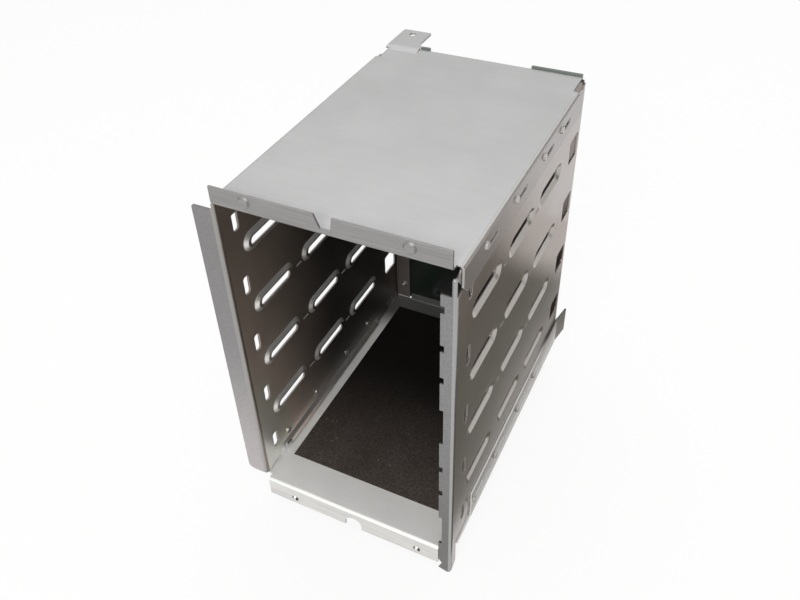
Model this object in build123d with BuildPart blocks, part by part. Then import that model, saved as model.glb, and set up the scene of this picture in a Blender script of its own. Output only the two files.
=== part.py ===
from build123d import *
import math
import os

# Hot swap drive cage: a riveted sheet steel box, open at the front, with five bays one above the other.
# Units are millimetres. The origin is the centre of the bottom panel's underside, +Y points to the rear.

# Overall sizes
bay_count = 5
bay_pitch = 37.5
cage_width = 114.0
cage_depth = 173.0
sheet = 1.0
bend_radius = 2.0
seam_gap = 0.1

# Top and bottom panels
top_flange_rise = 8.6
top_flange_width = 110.0
top_side_drop = 15.8
bottom_flange_drop = 12.9
bottom_flange_left = -54.0
bottom_flange_right = 49.8
bottom_side_rise = 20.5
bottom_side_start = 25.0
rear_flange_rise = 6.0
rear_flange_width = 92.0
front_leg = 4.0
side_flange_end = 9.5
side_flange_chamfer = 5.0
corner_notch_x = 54.6
corner_notch_start = 156.3
corner_notch_end = 169.0
top_notch_mouth = (-4.6, 3.7)
top_notch_root = (-2.0, 2.9)
top_notch_depth = 6.4
bottom_notch_width = 9.9
bottom_notch_height = 7.8
bottom_notch_x = -0.5
pip_spacing = 75.0
top_pip_diameter = 6.0
top_pip_height = 5.0
top_pip_depth = 0.8
bottom_pip_diameter = 4.0
bottom_pip_drop = 8.8
bottom_pip_depth = 0.9
pip_taper_deg = 45.0
ear_left = -57.0
ear_width = 17.0
ear_length = 21.0
ear_ramp_start = 6.0
ear_ramp_length = 5.0
ear_joggle = 0.8
ear_root_width = 19.4
ear_root_length = 7.0
ear_corner = 1.2
ear_hole_diameter = 4.0
ear_hole_x = -49.5
ear_hole_edge = 5.2
rear_tab_length = 13.0
rear_tab_height = 18.0
rear_tab_flare = 9.0

# Side walls
leg_relief_x = 55.6
leg_relief_depth = 7.2
left_front_setback = 1.6
left_flange_width = 10.6
left_flange_top = 182.5
left_flange_bottom = 2.6
flange_upper_corner = 1.0
flange_lower_corner = 3.5
right_flange_width = 7.0
right_flange_top = 174.0
rear_flange = 9.0
latch_notch_depth = 1.8
latch_notch_height = 3.7
latch_notch_spots = [48.5, 66.4, 126.3, 145.0, 166.2]
long_notch_spans = [(6.5, 28.5), (85.3, 107.7)]
bend_strip_width = 2.1
bend_strip_top = 182.3
top_slope_run = 5.3
top_slope_rise = 3.2
relief_low = 173.8
relief_tip = (7.1, 174.5)
relief_high = 181.6
foot_flange_points = [(50.0, -8.2), (52.1, -11.4), (50.1, -16.1), (55.2, -17.6)]
foot_wall_points = [(6.4, -0.4), (6.7, -13.8)]
roof_gap_start = 157.0
roof_gap_end = 168.0
roof_gap_depth = 4.0

# Pressed rails: a raised obround with a slot in it, three to a row, and one long rail in the lowest row
rail_offset = 1.5
rail_height = 11.0
rail_press = 1.4
rail_slope_deg = 31.0
rail_spans = [(17.0, 52.0), (61.5, 96.5), (104.5, 140.0)]
rail_slot_height = 4.6
rail_slot_inset = 4.4
low_rail_span = (17.0, 140.0)
low_slot_span = (19.8, 27.2)
low_slot_height = 5.8
low_slot_lift = 1.4
latch_slot_y = 14.3
latch_slot_width = 4.0
latch_slot_height = 10.4
latch_slot_lift = 16.2
gauge_hole_length = 5.0
gauge_hole_height = 1.1
gauge_hole_drop = 2.5
gauge_hole_spots = [58.0, 101.5]
rear_window_y = 161.0
rear_window = 14.0
rear_window_corner = 2.0

# Rivets and the lanced slot beside each
top_rivet_spots = [27.5, 63.0, 101.0, 128.0]
bottom_rivet_spots = [27.0, 59.5, 96.5, 126.0]
top_rivet_drop = 6.5
bottom_rivet_rise = 12.6
rivet_shank_diameter = 2.4
rivet_hole_clearance = 0.1
rivet_head_diameter = 4.0
rivet_head_height = 0.9
rivet_head_taper_deg = 22.0
rivet_tail_diameter = 3.6
rivet_tail_height = 0.7
lance_gap = 0.4
top_lance_length = 12.5
top_lance_height = 2.8
top_lance_drop = 2.0
bottom_lance_length = 11.5
bottom_lance_height = 2.5

# Insulating floor mat
mat_front = 20.6
mat_rear_gap = 12.0
mat_side_gap = 6.25
mat_thickness = 0.5

# Backplane board and what is on it
board_thickness = 1.6
board_side_gap = 0.5
board_bottom_gap = 1.5
board_top_gap = 0.8
board_tab_rise = 1.3
short_tab_width = 5.4
short_tab_x = -34.5
long_tab_width = 27.5
long_tab_x = 40.75
screw_inset = 4.5
screw_diameter = 2.9
screw_clearance = 0.15
screw_head_diameter = 5.6
screw_head_height = 2.2
screw_head_taper_deg = 15.0
screw_reach = 2.0
screw_end_distance = 10.0
socket_width = 62.0
socket_height = 8.0
socket_depth = 9.0
socket_x = 5.0
socket_cavity_width = 55.0
socket_cavity_height = 3.6
socket_cavity_depth = 6.0
socket_lift = 18.7
tongue_width = 53.0
tongue_thickness = 1.0
tongue_length = 5.0
power_width = 21.0
power_height = 11.0
power_depth = 12.0
power_wall = 1.2
power_side_gap = 23.5
power_first_z = 30.0
power_spacing = 32.0
power_count = 2
power_chamfer = 1.2
power_pin_count = 4
power_pin_pitch = 5.08
power_pin_diameter = 2.1
power_pin_length = 9.0
signal_width = 52.0
signal_height = 9.0
signal_depth = 8.0
signal_wall = 1.1
signal_side_deg = 80.0
signal_x = 12.0
signal_height_share = 0.51
signal_tongue_width = 44.0
signal_tongue_height = 3.0
signal_tongue_length = 6.0
capacitor_diameter = 6.3
capacitor_height = 8.0
capacitor_side_gap = 17.5
capacitor_first_z = 30.0
capacitor_spacing = 12.0
capacitor_top_gap = 36.0
capacitor_base = 6.8
capacitor_base_height = 1.0

# Places worked out from the sizes
cage_height = bay_count * bay_pitch
half_width = cage_width / 2
front_y = -cage_depth / 2
rear_y = cage_depth / 2
floor_z = sheet
roof_z = cage_height - sheet
skin_x = half_width + seam_gap
inner_radius = bend_radius - sheet
wall_bottom = bend_radius + seam_gap
wall_top = cage_height - bend_radius - seam_gap
row_z = [floor_z + rail_offset + row * bay_pitch for row in range(bay_count)]
top_rivet_z = cage_height - top_rivet_drop
bottom_flange_width = bottom_flange_right - bottom_flange_left
flange_foot_z = floor_z - bottom_flange_drop
top_flange_tip_z = cage_height + top_flange_rise
inner_x = half_width - sheet
left_front_y = front_y + left_front_setback
rail_taper_deg = 90 - rail_slope_deg
press_shrink = sheet * math.tan(math.radians(rail_slope_deg / 2))
board_bottom = floor_z + board_bottom_gap
board_top = roof_z - board_top_gap
board_edge_x = inner_x - board_side_gap
board_front = rear_y
board_rear = rear_y + board_thickness
screw_x = (screw_inset - inner_x, inner_x - screw_inset)
screw_z = (
    board_bottom + screw_end_distance,
    (board_bottom + board_top) / 2,
    board_top - screw_end_distance,
)
power_x = power_side_gap - board_edge_x
power_rows = [power_first_z + number * power_spacing for number in range(power_count)]
signal_z = cage_height * signal_height_share
capacitor_x = board_edge_x - capacitor_side_gap
capacitor_rows = [
    capacitor_first_z,
    capacitor_first_z + capacitor_spacing,
    board_top - capacitor_top_gap,
]

os.makedirs("parts", exist_ok=True)


def save(piece, label):
    """Name a finished piece and write it to its own file."""
    piece.part.label = label
    export_step(piece.part, f"parts/{label}.step")


def depth_of(spot):
    """Turn a distance behind the front plane into a Y position."""
    return front_y + spot


def tray(edge_z, flange_z):
    """Channel section of a panel: a flat web at edge_z with a side flange to flange_z at each side."""
    out_x = skin_x + sheet
    toward_web = Side.RIGHT if flange_z < edge_z else Side.LEFT
    with BuildSketch(Plane.XZ.offset(-rear_y)) as section:
        with BuildLine():
            FilletPolyline(
                (-out_x, flange_z),
                (-out_x, edge_z),
                (out_x, edge_z),
                (out_x, flange_z),
                radius=bend_radius,
            )
            offset(amount=sheet, side=toward_web)
        make_face()
    return section.sketch


def front_flange(edge_z, tip_z, left_x):
    """Section at left_x of the bent strip at a panel's front, from the web's face at edge_z to tip_z."""
    toward_rear = Side.LEFT if tip_z < edge_z else Side.RIGHT
    with BuildSketch(Plane.YZ.offset(left_x)) as section:
        with BuildLine():
            FilletPolyline(
                (front_y + front_leg + sheet, edge_z),
                (front_y, edge_z),
                (front_y, tip_z),
                radius=bend_radius,
            )
            offset(amount=sheet, side=toward_rear)
        make_face()
    return section.sketch


def pip_circles(plane_y, z, diameter):
    """The two round pips of a front flange, drawn on the plane at plane_y."""
    with BuildSketch(Plane.XZ.offset(-plane_y)) as circles:
        with Locations((-pip_spacing / 2, z), (pip_spacing / 2, z)):
            Circle(diameter / 2)
    return circles.sketch


def rivet_holes(spots, z):
    """Rivet holes of one seam, drawn on the YZ plane outside the left wall."""
    with BuildSketch(Plane.YZ.offset(-cage_width)) as holes:
        with Locations(*[(depth_of(spot), z) for spot in spots]):
            Circle(rivet_shank_diameter / 2 + rivet_hole_clearance)
    return holes.sketch


def lanced_slots(spots, z, length, height):
    """The slots behind the rivets of one seam, drawn on the same plane."""
    reach = rivet_head_diameter / 2 + lance_gap + length / 2
    with BuildSketch(Plane.YZ.offset(-cage_width)) as slots:
        with Locations(*[(depth_of(spot) + reach, z) for spot in spots]):
            SlotOverall(length, height)
    return slots.sketch


top_holes = rivet_holes(top_rivet_spots, top_rivet_z)
bottom_holes = rivet_holes(bottom_rivet_spots, bottom_rivet_rise)
top_slots = lanced_slots(
    top_rivet_spots,
    top_rivet_z - top_lance_drop,
    top_lance_length,
    top_lance_height,
)
bottom_slots = lanced_slots(
    bottom_rivet_spots,
    bottom_rivet_rise,
    bottom_lance_length,
    bottom_lance_height,
)


# Top panel: flat roof, front flange bent up, side flanges bent down outside the walls, rear ear with a hole
ear_hole_y = rear_y + ear_length - ear_hole_edge
ear_ramp_y = rear_y - ear_ramp_start
ear_top_z = cage_height + ear_joggle
with BuildPart() as top_panel:
    extrude(tray(cage_height, cage_height - top_side_drop), amount=cage_depth - front_leg)
    flange_ends = top_panel.edges().filter_by(Axis.X).group_by(Axis.Z)[0]
    chamfer(flange_ends.group_by(Axis.Y)[0], length=side_flange_chamfer)
    extrude(
        front_flange(roof_z, top_flange_tip_z, -top_flange_width / 2),
        amount=top_flange_width,
    )
    # The side flanges stop short of the rear
    with BuildSketch(Plane.XY.offset(cage_height - top_side_drop - sheet)):
        with Locations((0, rear_y - side_flange_end / 2)):
            Rectangle(cage_width * 2, side_flange_end)
    extrude(amount=top_side_drop, mode=Mode.SUBTRACT)
    # Rear mounting ear, raised a little by a ramp
    with BuildSketch(Plane.XY.offset(cage_height)):
        with Locations((-cage_width, ear_ramp_y)):
            Rectangle(
                cage_width + ear_left + ear_root_width,
                cage_depth,
                align=(Align.MIN, Align.MIN),
            )
    extrude(amount=-bend_radius, mode=Mode.SUBTRACT)
    with BuildSketch(Plane.YZ.offset(ear_left)):
        with BuildLine():
            Polyline(
                (ear_ramp_y - sheet, cage_height),
                (ear_ramp_y, cage_height),
                (ear_ramp_y + ear_ramp_length, ear_top_z),
                (rear_y + ear_length, ear_top_z),
            )
            offset(amount=sheet, side=Side.RIGHT)
        make_face()
    extrude(amount=ear_root_width)
    with BuildSketch(Plane.XY.offset(ear_top_z + sheet)):
        with BuildLine():
            Polyline(
                (ear_left + ear_root_width, rear_y),
                (ear_left + ear_width, rear_y + ear_root_length),
                (ear_left + ear_width, rear_y + ear_length + sheet),
                (ear_left + ear_root_width, rear_y + ear_length + sheet),
                close=True,
            )
        make_face()
        with Locations((ear_hole_x, ear_hole_y)):
            Circle(ear_hole_diameter / 2)
    extrude(amount=-sheet * 4, mode=Mode.SUBTRACT)
    ear_corners = top_panel.edges().filter_by(Axis.Z).group_by(Axis.Y)[-1]
    fillet(ear_corners, radius=ear_corner)
    # The roof's rear corners are notched through the bends, on the right all the way to the rear
    with BuildSketch(Plane.XY.offset(cage_height - bend_radius)):
        with Locations((-corner_notch_x, depth_of(corner_notch_start))):
            Rectangle(
                cage_width,
                corner_notch_end - corner_notch_start,
                align=(Align.MAX, Align.MIN),
            )
        with Locations((corner_notch_x, depth_of(corner_notch_start))):
            Rectangle(cage_width, cage_depth, align=(Align.MIN, Align.MIN))
    extrude(amount=bend_radius * 2, mode=Mode.SUBTRACT)
    # Finger notch and pips in the front flange
    with BuildSketch(Plane.XZ.offset(-front_y - sheet * 2)):
        with BuildLine():
            Polyline(
                (top_notch_mouth[0], top_flange_tip_z + sheet),
                (top_notch_mouth[0], top_flange_tip_z),
                (top_notch_root[0], top_flange_tip_z - top_notch_depth),
                (top_notch_root[1], top_flange_tip_z - top_notch_depth),
                (top_notch_mouth[1], top_flange_tip_z),
                (top_notch_mouth[1], top_flange_tip_z + sheet),
                close=True,
            )
        make_face()
    extrude(amount=sheet * 3, mode=Mode.SUBTRACT)
    top_pip_z = cage_height + top_pip_height
    extrude(
        pip_circles(front_y, top_pip_z, top_pip_diameter),
        amount=top_pip_depth,
        taper=pip_taper_deg,
    )
    extrude(
        pip_circles(front_y + sheet, top_pip_z, top_pip_diameter - sheet),
        amount=top_pip_depth,
        taper=pip_taper_deg,
        mode=Mode.SUBTRACT,
    )
    extrude(top_holes, amount=cage_width * 2, mode=Mode.SUBTRACT)
    extrude(top_slots, amount=cage_width * 2, mode=Mode.SUBTRACT)
save(top_panel, "top_panel")

# Bottom panel: floor, front flange bent down, side flanges bent up outside the walls, small rear flange
with BuildPart() as bottom_panel:
    extrude(tray(0, bottom_side_rise), amount=cage_depth - front_leg)
    extrude(
        front_flange(floor_z, flange_foot_z, bottom_flange_left),
        amount=bottom_flange_width,
    )
    # The side flanges start some way back from the front
    with BuildSketch(Plane.XY.offset(floor_z)):
        with Locations((0, front_y)):
            Rectangle(cage_width * 2, bottom_side_start, align=(Align.CENTER, Align.MIN))
    extrude(amount=bottom_side_rise, mode=Mode.SUBTRACT)
    # Relief for the right wall's leg in the front right corner
    with BuildSketch(Plane.XY.offset(-sheet)):
        with Locations((leg_relief_x, front_y - sheet)):
            Rectangle(cage_width, leg_relief_depth + sheet, align=(Align.MIN, Align.MIN))
    extrude(amount=sheet * 4, mode=Mode.SUBTRACT)
    # Upturned flange across the rear
    with BuildSketch(Plane.YZ.offset(-rear_flange_width / 2)):
        with BuildLine():
            FilletPolyline(
                (rear_y - front_leg, 0),
                (rear_y, 0),
                (rear_y, rear_flange_rise),
                radius=bend_radius,
            )
            offset(amount=sheet, side=Side.LEFT)
        make_face()
    extrude(amount=rear_flange_width)
    # Flared tab behind the right side flange
    flare = math.radians(rear_tab_flare)
    tab_plane = Plane(
        origin=(skin_x, rear_y - sheet, wall_bottom),
        x_dir=(math.sin(flare), math.cos(flare), 0),
        z_dir=(math.cos(flare), -math.sin(flare), 0),
    )
    with BuildSketch(tab_plane):
        Rectangle(rear_tab_length, rear_tab_height, align=(Align.MIN, Align.MIN))
    extrude(amount=sheet)
    # Arched notch and pips in the front flange
    with BuildSketch(Plane.XZ.offset(-front_y - sheet * 2)):
        with Locations((bottom_notch_x, flange_foot_z)):
            SlotOverall(bottom_notch_height * 2, bottom_notch_width, rotation=90)
    extrude(amount=sheet * 3, mode=Mode.SUBTRACT)
    bottom_pip_z = floor_z - bottom_pip_drop
    extrude(
        pip_circles(front_y, bottom_pip_z, bottom_pip_diameter),
        amount=bottom_pip_depth,
        taper=pip_taper_deg,
    )
    extrude(
        pip_circles(front_y + sheet, bottom_pip_z, bottom_pip_diameter - sheet),
        amount=bottom_pip_depth,
        taper=pip_taper_deg,
        mode=Mode.SUBTRACT,
    )
    extrude(bottom_holes, amount=cage_width * 2, mode=Mode.SUBTRACT)
    extrude(bottom_slots, amount=cage_width * 2, mode=Mode.SUBTRACT)
save(bottom_panel, "bottom_panel")


def wall_section(points, radii, side):
    """Plan section of a wall: its inner line offset outwards by one sheet."""
    with BuildSketch(Plane.XY.offset(wall_bottom)) as section:
        with BuildLine():
            FilletPolyline(*points, radius=radii)
            offset(amount=sheet, side=side)
        make_face()
    return section.sketch


def rail_outlines(plane, shrink):
    """Obround outlines of all the rails, drawn on plane and made smaller by shrink all round."""
    with BuildSketch(plane) as outlines:
        for start, end in rail_spans:
            middle = depth_of((start + end) / 2)
            with Locations(*[(middle, z) for z in row_z[1:]]):
                SlotOverall(end - start - 2 * shrink, rail_height - 2 * shrink)
        with Locations((depth_of(sum(low_rail_span) / 2), row_z[0])):
            SlotOverall(
                low_rail_span[1] - low_rail_span[0] - 2 * shrink,
                rail_height - 2 * shrink,
            )
    return outlines.sketch


def wall_openings(plane):
    """Everything pierced through both walls, drawn on plane."""
    with BuildSketch(plane) as openings:
        for start, end in rail_spans:
            middle = depth_of((start + end) / 2)
            with Locations(*[(middle, z) for z in row_z[1:]]):
                SlotOverall(end - start - 2 * rail_slot_inset, rail_slot_height)
        with Locations((depth_of(sum(low_slot_span) / 2), row_z[0] + low_slot_lift)):
            SlotOverall(low_slot_span[1] - low_slot_span[0], low_slot_height)
        with Locations(*[(depth_of(latch_slot_y), z + latch_slot_lift) for z in row_z]):
            RectangleRounded(latch_slot_width, latch_slot_height, latch_slot_width / 3)
        for spot in gauge_hole_spots:
            with Locations(*[(depth_of(spot), z - gauge_hole_drop) for z in row_z[1:]]):
                SlotOverall(gauge_hole_length, gauge_hole_height)
        with Locations(*[(depth_of(rear_window_y), z) for z in row_z]):
            RectangleRounded(rear_window, rear_window, rear_window_corner)
    return openings.sketch


def rear_screw_holes():
    """Screw holes that join the walls' rear flanges to the board."""
    with BuildSketch(Plane.XZ.offset(-rear_y - board_thickness * 2)) as holes:
        with Locations(*[(x, z) for x in screw_x for z in screw_z]):
            Circle(screw_diameter / 2 + screw_clearance)
    return holes.sketch


# Left wall: front flange bent outwards, rear flange bent inwards, rails pressed inwards
with BuildPart() as left_wall:
    extrude(
        wall_section(
            [
                (-half_width - left_flange_width, left_front_y),
                (-inner_x, left_front_y),
                (-inner_x, rear_y - sheet),
                (-inner_x + rear_flange, rear_y - sheet),
            ],
            [bend_radius, inner_radius],
            Side.LEFT,
        ),
        amount=wall_top - wall_bottom,
    )
    # The front flange is shorter than the wall, with its outer corners cut round
    with BuildSketch(Plane.XZ.offset(-left_front_y - sheet * 2)):
        with Locations((-half_width, left_flange_top)):
            Rectangle(cage_width, cage_height, align=(Align.MAX, Align.MIN))
        with Locations((-half_width, left_flange_bottom)):
            Rectangle(cage_width, cage_height, align=(Align.MAX, Align.MAX))
    extrude(amount=sheet * 4, mode=Mode.SUBTRACT)
    lower_corner, upper_corner = left_wall.edges().filter_by(Axis.Y).group_by(Axis.X)[0].sort_by(Axis.Z)
    fillet(lower_corner, radius=flange_lower_corner)
    fillet(upper_corner, radius=flange_upper_corner)
    extrude(
        rail_outlines(Plane.YZ.offset(-inner_x), 0),
        amount=rail_press,
        taper=rail_taper_deg,
    )
    extrude(
        rail_outlines(Plane.YZ.offset(-half_width), press_shrink),
        amount=rail_press,
        taper=rail_taper_deg,
        mode=Mode.SUBTRACT,
    )
    extrude(
        wall_openings(Plane.YZ.offset(-half_width - sheet)),
        amount=rail_press + sheet * 4,
        mode=Mode.SUBTRACT,
    )
    split(bisect_by=Plane.XY.offset(wall_bottom), keep=Keep.TOP)
    extrude(rear_screw_holes(), amount=sheet * 6, mode=Mode.SUBTRACT)
    extrude(top_holes, amount=cage_width, mode=Mode.SUBTRACT)
    extrude(top_slots, amount=cage_width, mode=Mode.SUBTRACT)
    extrude(bottom_holes, amount=cage_width, mode=Mode.SUBTRACT)
save(left_wall, "left_wall")

# Right wall: notched front flange bent inwards, with a leg that runs down past the floor
flange_inner_x = half_width - right_flange_width
foot_z = foot_flange_points[-1][1]
with BuildPart() as right_wall:
    extrude(
        wall_section(
            [
                (flange_inner_x, front_y + sheet),
                (inner_x, front_y + sheet),
                (inner_x, rear_y - sheet),
                (inner_x - rear_flange, rear_y - sheet),
            ],
            [inner_radius, inner_radius],
            Side.RIGHT,
        ),
        amount=wall_top - wall_bottom,
    )
    # The front strip with the flange runs down past the floor
    with BuildSketch(Plane.XY.offset(wall_bottom)):
        with BuildLine():
            FilletPolyline(
                (flange_inner_x, front_y + sheet),
                (inner_x, front_y + sheet),
                (inner_x, front_y + foot_wall_points[-1][0]),
                radius=inner_radius,
            )
            offset(amount=sheet, side=Side.RIGHT)
        make_face()
    extrude(amount=foot_z - wall_bottom)
    # Hooked end of the leg's flange
    with BuildSketch(Plane.XZ.offset(-front_y - sheet * 2)):
        with BuildLine():
            Polyline(
                (flange_inner_x - sheet, foot_flange_points[0][1]),
                *foot_flange_points,
                (foot_flange_points[-1][0], foot_z - sheet),
                (flange_inner_x - sheet, foot_z - sheet),
                close=True,
            )
        make_face()
    extrude(amount=sheet * 3, mode=Mode.SUBTRACT)
    # Sloping end of the leg's wall strip
    with BuildSketch(Plane.YZ.offset(inner_x - bend_radius)):
        with BuildLine():
            Polyline(
                (front_y, foot_z),
                (front_y + foot_wall_points[1][0], foot_wall_points[1][1]),
                (front_y + foot_wall_points[1][0] + sheet, foot_wall_points[1][1]),
                (front_y + foot_wall_points[1][0] + sheet, foot_z - sheet),
                (front_y, foot_z - sheet),
                close=True,
            )
        make_face()
    extrude(amount=bend_radius * 3, mode=Mode.SUBTRACT)
    # Above the flange only the narrow strip of the bend goes on, up to a sloping top corner
    with BuildSketch(Plane.XZ.offset(-front_y - sheet)):
        with Locations((half_width - bend_strip_width, right_flange_top)):
            Rectangle(cage_width, cage_height, align=(Align.MAX, Align.MIN))
    extrude(amount=sheet * 2, mode=Mode.SUBTRACT)
    with BuildSketch(Plane.YZ.offset(inner_x - bend_radius)):
        with BuildLine():
            Polyline(
                (front_y - sheet, bend_strip_top),
                (front_y, bend_strip_top),
                (front_y + top_slope_run, bend_strip_top + top_slope_rise),
                (front_y + top_slope_run, cage_height),
                (front_y - sheet, cage_height),
                close=True,
            )
        make_face()
    extrude(amount=bend_radius * 3, mode=Mode.SUBTRACT)
    # Pointed relief behind that strip
    with BuildSketch(Plane.YZ.offset(inner_x - bend_radius)):
        with BuildLine():
            Polyline(
                (front_y + sheet, relief_low),
                (front_y + relief_tip[0], relief_tip[1]),
                (front_y + sheet, relief_high),
                close=True,
            )
        make_face()
    extrude(amount=bend_radius * 3, mode=Mode.SUBTRACT)
    # Latch notches in the flange's free edge
    with BuildSketch(Plane.XZ.offset(-front_y + sheet)):
        for z in latch_notch_spots:
            with Locations((flange_inner_x, z)):
                Rectangle(latch_notch_depth * 2, latch_notch_height)
        for low_z, high_z in long_notch_spans:
            with Locations((flange_inner_x, (low_z + high_z) / 2)):
                Rectangle(latch_notch_depth * 2, high_z - low_z)
    extrude(amount=-sheet * 3, mode=Mode.SUBTRACT)
    extrude(
        rail_outlines(Plane.YZ.offset(inner_x), 0),
        amount=-rail_press,
        taper=rail_taper_deg,
    )
    extrude(
        rail_outlines(Plane.YZ.offset(half_width), press_shrink),
        amount=-rail_press,
        taper=rail_taper_deg,
        mode=Mode.SUBTRACT,
    )
    extrude(
        wall_openings(Plane.YZ.offset(half_width + sheet)),
        amount=-(rail_press + sheet * 4),
        mode=Mode.SUBTRACT,
    )
    # The lowest rails are cut off level with the wall's lower edge
    with BuildSketch(Plane.XY.offset(wall_bottom)):
        with Locations((half_width, front_y + foot_wall_points[0][0])):
            Rectangle(rear_flange * 3, cage_depth, align=(Align.CENTER, Align.MIN))
    extrude(amount=foot_z - rail_height, mode=Mode.SUBTRACT)
    # Gap in the wall's upper edge behind the side flange
    with BuildSketch(Plane.YZ.offset(inner_x - bend_radius)):
        with Locations((depth_of(roof_gap_start), wall_top)):
            Rectangle(
                roof_gap_end - roof_gap_start,
                roof_gap_depth * 2,
                align=(Align.MIN, Align.CENTER),
            )
    extrude(amount=bend_radius * 3, mode=Mode.SUBTRACT)
    extrude(rear_screw_holes(), amount=sheet * 6, mode=Mode.SUBTRACT)
    extrude(top_holes, amount=cage_width * 2, mode=Mode.SUBTRACT)
    extrude(top_slots, amount=cage_width * 2, mode=Mode.SUBTRACT)
    extrude(bottom_holes, amount=cage_width * 2, mode=Mode.SUBTRACT)
save(right_wall, "right_wall")

# Floor mat: thin insulating sheet stuck on the floor
with BuildPart() as floor_mat:
    with BuildSketch(Plane.XY.offset(floor_z)):
        with Locations((0, depth_of(mat_front))):
            Rectangle(
                2 * (inner_x - mat_side_gap),
                cage_depth - mat_front - mat_rear_gap,
                align=(Align.CENTER, Align.MIN),
            )
    extrude(amount=mat_thickness)
save(floor_mat, "floor_mat")


def rivet_group(direction, spots, z):
    """The rivets along one seam. The direction is 1 on the right side and -1 on the left."""
    tail_face = direction * inner_x
    head_face = direction * (skin_x + sheet)
    places = [(depth_of(spot), z) for spot in spots]
    with BuildPart() as rivets:
        with BuildSketch(Plane.YZ.offset(tail_face)):
            with Locations(*places):
                Circle(rivet_shank_diameter / 2)
        extrude(amount=head_face - tail_face)
        with BuildSketch(Plane.YZ.offset(head_face)):
            with Locations(*places):
                Circle(rivet_head_diameter / 2)
        extrude(amount=direction * rivet_head_height, taper=rivet_head_taper_deg)
        with BuildSketch(Plane.YZ.offset(tail_face)):
            with Locations(*places):
                Circle(rivet_tail_diameter / 2)
        extrude(amount=-direction * rivet_tail_height)
    return rivets


for side_name, direction in (("left", -1), ("right", 1)):
    top_group = rivet_group(direction, top_rivet_spots, top_rivet_z)
    bottom_group = rivet_group(direction, bottom_rivet_spots, bottom_rivet_rise)
    save(top_group, f"rivets_top_{side_name}")
    save(bottom_group, f"rivets_bottom_{side_name}")

# Backplane board, screwed to the walls' rear flanges, with two tabs that stand up behind the roof
tab_height = cage_height + board_tab_rise - board_top
with BuildPart() as backplane_board:
    with BuildSketch(Plane.XZ.offset(-board_rear)):
        with Locations((0, board_bottom)):
            Rectangle(
                2 * board_edge_x,
                board_top - board_bottom,
                align=(Align.CENTER, Align.MIN),
            )
        with Locations((short_tab_x, board_top)):
            Rectangle(short_tab_width, tab_height, align=(Align.CENTER, Align.MIN))
        with Locations((long_tab_x, board_top)):
            Rectangle(long_tab_width, tab_height, align=(Align.CENTER, Align.MIN))
        with Locations(*[(x, z) for x in screw_x for z in screw_z]):
            Circle(screw_diameter / 2 + screw_clearance, mode=Mode.SUBTRACT)
    extrude(amount=board_thickness)
save(backplane_board, "backplane_board")

# Screws through the board into the rear flanges
with BuildPart() as board_screws:
    with BuildSketch(Plane.XZ.offset(-board_rear)):
        with Locations(*[(x, z) for x in screw_x for z in screw_z]):
            Circle(screw_diameter / 2)
    extrude(amount=board_thickness + sheet + screw_reach)
    with BuildSketch(Plane.XZ.offset(-board_rear)):
        with Locations(*[(x, z) for x in screw_x for z in screw_z]):
            Circle(screw_head_diameter / 2)
    extrude(amount=-screw_head_height, taper=screw_head_taper_deg)
    with BuildSketch(Plane.XZ.offset(-board_rear - screw_head_height)):
        with Locations(*[(x, z) for x in screw_x for z in screw_z]):
            Rectangle(screw_diameter, screw_diameter / 4)
            Rectangle(screw_diameter / 4, screw_diameter)
    extrude(amount=screw_head_height / 2, mode=Mode.SUBTRACT)
save(board_screws, "board_screws")

# Drive connectors on the board's front, one to a bay, each with its contact tongue
for bay in range(bay_count):
    socket_z = row_z[bay] + socket_lift
    with BuildPart() as drive_connector:
        with BuildSketch(Plane.XZ.offset(-board_front)):
            with Locations((socket_x, socket_z)):
                Rectangle(socket_width, socket_height)
        extrude(amount=socket_depth)
        chamfer(drive_connector.edges().filter_by(Axis.Y), length=socket_height / 8)
        with BuildSketch(Plane.XZ.offset(-board_front + socket_depth)):
            with Locations((socket_x, socket_z)):
                Rectangle(socket_cavity_width, socket_cavity_height)
        extrude(amount=-socket_cavity_depth, mode=Mode.SUBTRACT)
    save(drive_connector, f"drive_connector_{bay + 1}")
    with BuildPart() as drive_contacts:
        with BuildSketch(Plane.XZ.offset(-board_front + socket_depth - socket_cavity_depth)):
            with Locations((socket_x, socket_z)):
                Rectangle(tongue_width, tongue_thickness)
        extrude(amount=tongue_length)
    save(drive_contacts, f"drive_contacts_{bay + 1}")

# Power headers on the board's rear
for number, power_z in enumerate(power_rows, start=1):
    with BuildPart() as power_connector:
        with BuildSketch(Plane.XZ.offset(-board_rear)):
            with Locations((power_x, power_z)):
                Rectangle(power_width, power_height)
        extrude(amount=-power_depth)
        upper_edges = power_connector.edges().filter_by(Axis.Y).group_by(Axis.Z)[-1]
        chamfer(upper_edges, length=power_chamfer)
        with BuildSketch(Plane.XZ.offset(-board_rear - power_depth)):
            with Locations((power_x, power_z)):
                Rectangle(power_width - 2 * power_wall, power_height - 2 * power_wall)
        extrude(amount=power_depth - 2 * power_wall, mode=Mode.SUBTRACT)
    save(power_connector, f"power_connector_{number}")

with BuildPart() as power_pins:
    with BuildSketch(Plane.XZ.offset(-board_rear - 2 * power_wall)):
        for power_z in power_rows:
            with Locations((power_x, power_z)):
                with GridLocations(power_pin_pitch, 0, power_pin_count, 1):
                    Circle(power_pin_diameter / 2)
    extrude(amount=-power_pin_length)
save(power_pins, "power_pins")

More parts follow.
